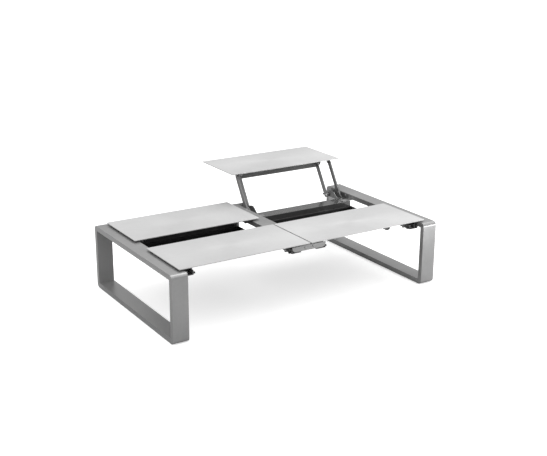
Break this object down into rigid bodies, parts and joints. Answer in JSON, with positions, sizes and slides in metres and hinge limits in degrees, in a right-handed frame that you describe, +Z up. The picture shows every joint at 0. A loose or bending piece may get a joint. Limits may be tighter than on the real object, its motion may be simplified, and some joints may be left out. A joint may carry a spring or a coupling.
{
  "type": "lift top coffee table",
  "caption": "Low rectangular table on two flat-band loop legs, with brushed metal top plates that lift up and outwards on parallelogram arms over open storage troughs.",
  "frame": {"origin": "on the floor, under the middle of the box around the whole table with its back right plate raised, which is 129 mm behind the middle of the two leg frames", "axes": "+X along the table to its right end, +Y to its back, +Z up"},
  "size_m": [1.5, 1.1072, 0.5023],
  "materials": {
    "frame_paint": "satin grey lacquer on flat aluminium band",
    "cover_paint": "satin grey lacquer",
    "plate_brushed": "fine brushed, clear anodised",
    "trough_gloss": "gloss grey lacquer",
    "liner_black": "matt black",
    "bracket_dark": "dark grey powder coat",
    "arm_grey": "satin grey lacquer",
    "zinc_steel": "zinc plated",
    "pin_steel": "bright turned steel",
    "bolt_steel": "zinc plated",
    "washer_nylon": "natural nylon",
    "glide_nylon": "black nylon",
    "stop_rubber": "black rubber"
  },
  "bodies": {
    "frame": {"left_leg_frame": "frame_paint", "right_leg_frame": "frame_paint", "floor_glides": "glide_nylon", "centre_beam": "frame_paint", "beam_end_covers": "cover_paint", "left_trough": "trough_gloss", "left_trough_liner": "liner_black", "left_trough_end_caps": "cover_paint", "right_trough": "trough_gloss", "right_trough_liner": "liner_black", "right_trough_end_caps": "cover_paint", "leg_tie_plates": "zinc_steel", "beam_tie_plates": "zinc_steel", "base_pins": "pin_steel", "base_washers": "washer_nylon", "stop_studs": "stop_rubber", "bracket_bolts": "bolt_steel", "frame_bolts": "bolt_steel", "frame_nuts": "bolt_steel", "back_right_base_brackets": "bracket_dark", "back_left_base_brackets": "bracket_dark", "front_right_base_brackets": "bracket_dark", "front_left_base_brackets": "bracket_dark"},
    "back_right_lift": {"back_right_lift_frame": "arm_grey"},
    "back_right_arms": {"back_right_outer_arms": "arm_grey"},
    "back_right_top": {"back_right_top_plate": "plate_brushed", "back_right_plate_brackets": "bracket_dark", "back_right_top_pins": "pin_steel", "back_right_top_washers": "washer_nylon", "back_right_plate_screws": "bolt_steel", "back_right_rest_pads": "stop_rubber"},
    "back_left_lift": {"back_left_lift_frame": "arm_grey"},
    "back_left_arms": {"back_left_outer_arms": "arm_grey"},
    "back_left_top": {"back_left_top_plate": "plate_brushed", "back_left_plate_brackets": "bracket_dark", "back_left_top_pins": "pin_steel", "back_left_top_washers": "washer_nylon", "back_left_plate_screws": "bolt_steel", "back_left_rest_pads": "stop_rubber"},
    "front_right_lift": {"front_right_lift_frame": "arm_grey"},
    "front_right_arms": {"front_right_outer_arms": "arm_grey"},
    "front_right_top": {"front_right_top_plate": "plate_brushed", "front_right_plate_brackets": "bracket_dark", "front_right_top_pins": "pin_steel", "front_right_top_washers": "washer_nylon", "front_right_plate_screws": "bolt_steel", "front_right_rest_pads": "stop_rubber"},
    "front_left_lift": {"front_left_lift_frame": "arm_grey"},
    "front_left_arms": {"front_left_outer_arms": "arm_grey"},
    "front_left_top": {"front_left_top_plate": "plate_brushed", "front_left_plate_brackets": "bracket_dark", "front_left_top_pins": "pin_steel", "front_left_top_washers": "washer_nylon", "front_left_plate_screws": "bolt_steel", "front_left_rest_pads": "stop_rubber"}
  },
  "joints": [
    {"name": "back_right_lift_hinge", "type": "hinge", "parent": "frame", "child": "back_right_lift", "pos_m": [0.3565, 0.20639, 0.306], "axis": [-1, 0, 0], "range_deg": [-121.5, 0]},
    {"name": "back_right_arm_hinge", "type": "hinge", "parent": "frame", "child": "back_right_arms", "pos_m": [0.3565, 0.16639, 0.32], "axis": [-1, 0, 0], "range_deg": [-121.5, 0]},
    {"name": "back_right_plate_hinge", "type": "hinge", "parent": "back_right_lift", "child": "back_right_top", "pos_m": [0.3565, 0.30462, 0.4663], "axis": [-1, 0, 0], "range_deg": [0, 121.5]},
    {"name": "back_left_lift_hinge", "type": "hinge", "parent": "frame", "child": "back_left_lift", "pos_m": [-0.3565, 0.20639, 0.306], "axis": [-1, 0, 0], "range_deg": [0, 121.5]},
    {"name": "back_left_arm_hinge", "type": "hinge", "parent": "frame", "child": "back_left_arms", "pos_m": [-0.3565, 0.16639, 0.32], "axis": [-1, 0, 0], "range_deg": [0, 121.5]},
    {"name": "back_left_plate_hinge", "type": "hinge", "parent": "back_left_lift", "child": "back_left_top", "pos_m": [-0.3565, 0.01838, 0.306], "axis": [-1, 0, 0], "range_deg": [-121.5, 0]},
    {"name": "front_right_lift_hinge", "type": "hinge", "parent": "frame", "child": "front_right_lift", "pos_m": [0.3565, -0.46361, 0.306], "axis": [1, 0, 0], "range_deg": [0, 121.5]},
    {"name": "front_right_arm_hinge", "type": "hinge", "parent": "frame", "child": "front_right_arms", "pos_m": [0.3565, -0.42362, 0.32], "axis": [1, 0, 0], "range_deg": [0, 121.5]},
    {"name": "front_right_plate_hinge", "type": "hinge", "parent": "front_right_lift", "child": "front_right_top", "pos_m": [0.3565, -0.27561, 0.306], "axis": [1, 0, 0], "range_deg": [-121.5, 0]},
    {"name": "front_left_lift_hinge", "type": "hinge", "parent": "frame", "child": "front_left_lift", "pos_m": [-0.3565, -0.46361, 0.306], "axis": [1, 0, 0], "range_deg": [0, 121.5]},
    {"name": "front_left_arm_hinge", "type": "hinge", "parent": "frame", "child": "front_left_arms", "pos_m": [-0.3565, -0.42362, 0.32], "axis": [1, 0, 0], "range_deg": [0, 121.5]},
    {"name": "front_left_plate_hinge", "type": "hinge", "parent": "front_left_lift", "child": "front_left_top", "pos_m": [-0.3565, -0.27561, 0.306], "axis": [1, 0, 0], "range_deg": [-121.5, 0]}
  ],
  "couplings": [
    {"joint": "back_right_arm_hinge", "follows": "back_right_lift_hinge", "ratio": 1},
    {"joint": "back_right_plate_hinge", "follows": "back_right_lift_hinge", "ratio": -1},
    {"joint": "back_left_arm_hinge", "follows": "back_left_lift_hinge", "ratio": 1},
    {"joint": "back_left_plate_hinge", "follows": "back_left_lift_hinge", "ratio": -1},
    {"joint": "front_right_arm_hinge", "follows": "front_right_lift_hinge", "ratio": 1},
    {"joint": "front_right_plate_hinge", "follows": "front_right_lift_hinge", "ratio": -1},
    {"joint": "front_left_arm_hinge", "follows": "front_left_lift_hinge", "ratio": 1},
    {"joint": "front_left_plate_hinge", "follows": "front_left_lift_hinge", "ratio": -1}
  ]
}
